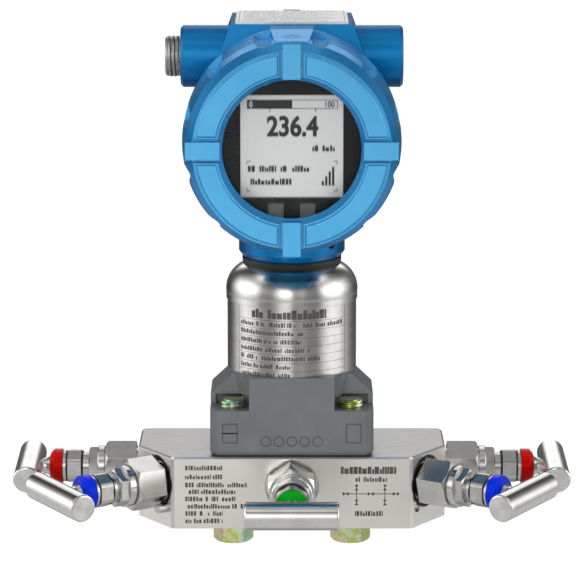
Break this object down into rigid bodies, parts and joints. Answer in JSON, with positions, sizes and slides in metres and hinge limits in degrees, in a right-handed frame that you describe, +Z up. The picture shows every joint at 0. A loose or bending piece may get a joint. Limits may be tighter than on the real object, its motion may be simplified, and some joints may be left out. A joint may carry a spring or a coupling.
{
  "type": "pressure transmitter",
  "caption": "Differential pressure transmitter with a round display housing, a steel sensor module and an integral valve manifold with T-handle needle valves.",
  "frame": {"origin": "under the middle of the whole instrument, at the underside of the bolt heads that it stands on", "axes": "+Z up along the sensor module; -Y is the front, where the display looks; +X to the right when facing the display"},
  "size_m": [0.2594, 0.1484, 0.2399],
  "materials": {
    "block_steel": "bead-blasted stainless steel",
    "turned_steel": "turned stainless steel",
    "handle_steel": "brushed stainless steel bar",
    "flange_paint": "satin grey paint",
    "housing_paint": "gloss blue polyurethane paint on cast aluminium",
    "yellow_zinc": "yellow passivated zinc plating",
    "black_rubber": "black nitrile",
    "white_ptfe": "white PTFE",
    "circuit_board": "green solder mask",
    "black_plastic": "black moulded plastic",
    "screen_grey": "grey reflective liquid crystal panel",
    "button_grey": "grey moulded keys",
    "plate_metal": "satin aluminium plate",
    "brass_plated": "plated brass",
    "black_oxide": "black oxide steel",
    "red_plastic": "moulded red cap",
    "blue_plastic": "moulded blue cap",
    "green_plastic": "moulded green cap",
    "window_glass": "toughened glass"
  },
  "bodies": {
    "base": {"manifold_block": "block_steel", "bonnet_pins": "turned_steel", "flange_bolts": "yellow_zinc", "flange_gasket": "black_rubber", "sensor_flange": "flange_paint", "process_seals": "white_ptfe", "isolating_diaphragms": "turned_steel", "module_shell": "turned_steel", "module_base": "turned_steel", "sensor_capsule": "turned_steel", "sensor_board": "circuit_board", "module_connector": "black_plastic", "neck_ring": "black_rubber", "valve_lock_nuts": "turned_steel", "valve_glands": "turned_steel", "valve_seals": "black_rubber", "left_isolate_bonnet": "turned_steel", "right_isolate_bonnet": "turned_steel", "left_vent_bonnet": "turned_steel", "right_vent_bonnet": "turned_steel", "equalize_bonnet": "turned_steel"},
    "left_isolate_tip_body": {"left_isolate_tip": "turned_steel"},
    "left_isolate_handle_body": {"left_isolate_stem": "turned_steel", "left_isolate_cap": "red_plastic", "left_isolate_handle": "handle_steel"},
    "right_isolate_tip_body": {"right_isolate_tip": "turned_steel"},
    "right_isolate_handle_body": {"right_isolate_stem": "turned_steel", "right_isolate_cap": "red_plastic", "right_isolate_handle": "handle_steel"},
    "left_vent_tip_body": {"left_vent_tip": "turned_steel"},
    "left_vent_handle_body": {"left_vent_stem": "turned_steel", "left_vent_cap": "blue_plastic", "left_vent_handle": "handle_steel"},
    "right_vent_tip_body": {"right_vent_tip": "turned_steel"},
    "right_vent_handle_body": {"right_vent_stem": "turned_steel", "right_vent_cap": "blue_plastic", "right_vent_handle": "handle_steel"},
    "equalize_tip_body": {"equalize_tip": "turned_steel"},
    "equalize_handle_body": {"equalize_stem": "turned_steel", "equalize_cap": "green_plastic", "equalize_handle": "handle_steel"},
    "housing": {"housing_body": "housing_paint", "rotation_set_screw": "black_oxide", "cover_lock_screws": "black_oxide", "ground_screw": "brass_plated", "top_plate": "plate_metal", "conduit_plug": "turned_steel", "display_bezel": "black_plastic", "display_screen": "screen_grey", "electronics_module": "black_plastic", "terminal_block": "black_plastic", "terminal_screws": "brass_plated"},
    "front_cover_seal": {"front_cover_oring": "black_rubber"},
    "front_cover_body": {"front_cover": "housing_paint", "window_glass": "window_glass", "window_retainer": "housing_paint"},
    "rear_cover_seal": {"rear_cover_oring": "black_rubber"},
    "rear_cover_body": {"rear_cover": "housing_paint"},
    "button_left_key": {"button_left": "button_grey"},
    "button_right_key": {"button_right": "button_grey"}
  },
  "joints": [
    {"name": "left_isolate_lift", "type": "slide", "parent": "base", "child": "left_isolate_tip_body", "axis": [-1, 0, 0], "range_m": [0, 0.003]},
    {"name": "left_isolate_turn", "type": "hinge", "parent": "left_isolate_tip_body", "child": "left_isolate_handle_body", "pos_m": [-0.0713, 0.0263, 0.0266], "axis": [-1, 0, 0], "range_deg": [0, 1080]},
    {"name": "right_isolate_lift", "type": "slide", "parent": "base", "child": "right_isolate_tip_body", "axis": [1, 0, 0], "range_m": [0, 0.003]},
    {"name": "right_isolate_turn", "type": "hinge", "parent": "right_isolate_tip_body", "child": "right_isolate_handle_body", "pos_m": [0.0713, 0.0263, 0.0266], "axis": [1, 0, 0], "range_deg": [0, 1080]},
    {"name": "left_vent_lift", "type": "slide", "parent": "base", "child": "left_vent_tip_body", "axis": [-0.8239, -0.5667, 0], "range_m": [0, 0.003]},
    {"name": "left_vent_turn", "type": "hinge", "parent": "left_vent_tip_body", "child": "left_vent_handle_body", "pos_m": [-0.06217, -0.00357, 0.0271], "axis": [-0.8239, -0.5667, 0], "range_deg": [0, 1080]},
    {"name": "right_vent_lift", "type": "slide", "parent": "base", "child": "right_vent_tip_body", "axis": [0.8239, -0.5667, 0], "range_m": [0, 0.003]},
    {"name": "right_vent_turn", "type": "hinge", "parent": "right_vent_tip_body", "child": "right_vent_handle_body", "pos_m": [0.06217, -0.00357, 0.0271], "axis": [0.8239, -0.5667, 0], "range_deg": [0, 1080]},
    {"name": "equalize_lift", "type": "slide", "parent": "base", "child": "equalize_tip_body", "axis": [0, -1, 0], "range_m": [0, 0.003]},
    {"name": "equalize_turn", "type": "hinge", "parent": "equalize_tip_body", "child": "equalize_handle_body", "pos_m": [0, -0.014, 0.0271], "axis": [0, -1, 0], "range_deg": [0, 1080]},
    {"name": "housing_rotation", "type": "hinge", "parent": "base", "child": "housing", "pos_m": [0, 0.015, 0.14], "axis": [0, 0, 1], "range_deg": [-180, 180]},
    {"name": "front_cover_travel", "type": "slide", "parent": "housing", "child": "front_cover_seal", "axis": [0, -1, 0], "range_m": [0, 0.0075]},
    {"name": "front_cover_unscrew", "type": "hinge", "parent": "front_cover_seal", "child": "front_cover_body", "pos_m": [0, 0.015, 0.191], "axis": [0, -1, 0], "range_deg": [0, 1800]},
    {"name": "rear_cover_travel", "type": "slide", "parent": "housing", "child": "rear_cover_seal", "axis": [0, 1, 0], "range_m": [0, 0.0075]},
    {"name": "rear_cover_unscrew", "type": "hinge", "parent": "rear_cover_seal", "child": "rear_cover_body", "pos_m": [0, 0.015, 0.191], "axis": [0, 1, 0], "range_deg": [0, 1800]},
    {"name": "button_left_press", "type": "slide", "parent": "housing", "child": "button_left_key", "axis": [0, 1, 0], "range_m": [0, 0.0008], "stiffness_N_per_m": 400},
    {"name": "button_right_press", "type": "slide", "parent": "housing", "child": "button_right_key", "axis": [0, 1, 0], "range_m": [0, 0.0008], "stiffness_N_per_m": 400}
  ],
  "couplings": [
    {"joint": "left_isolate_lift", "follows": "left_isolate_turn", "m_per_rad": 0.00015915},
    {"joint": "right_isolate_lift", "follows": "right_isolate_turn", "m_per_rad": 0.00015915},
    {"joint": "left_vent_lift", "follows": "left_vent_turn", "m_per_rad": 0.00015915},
    {"joint": "right_vent_lift", "follows": "right_vent_turn", "m_per_rad": 0.00015915},
    {"joint": "equalize_lift", "follows": "equalize_turn", "m_per_rad": 0.00015915},
    {"joint": "front_cover_travel", "follows": "front_cover_unscrew", "m_per_rad": 0.00023873},
    {"joint": "rear_cover_travel", "follows": "rear_cover_unscrew", "m_per_rad": 0.00023873}
  ]
}
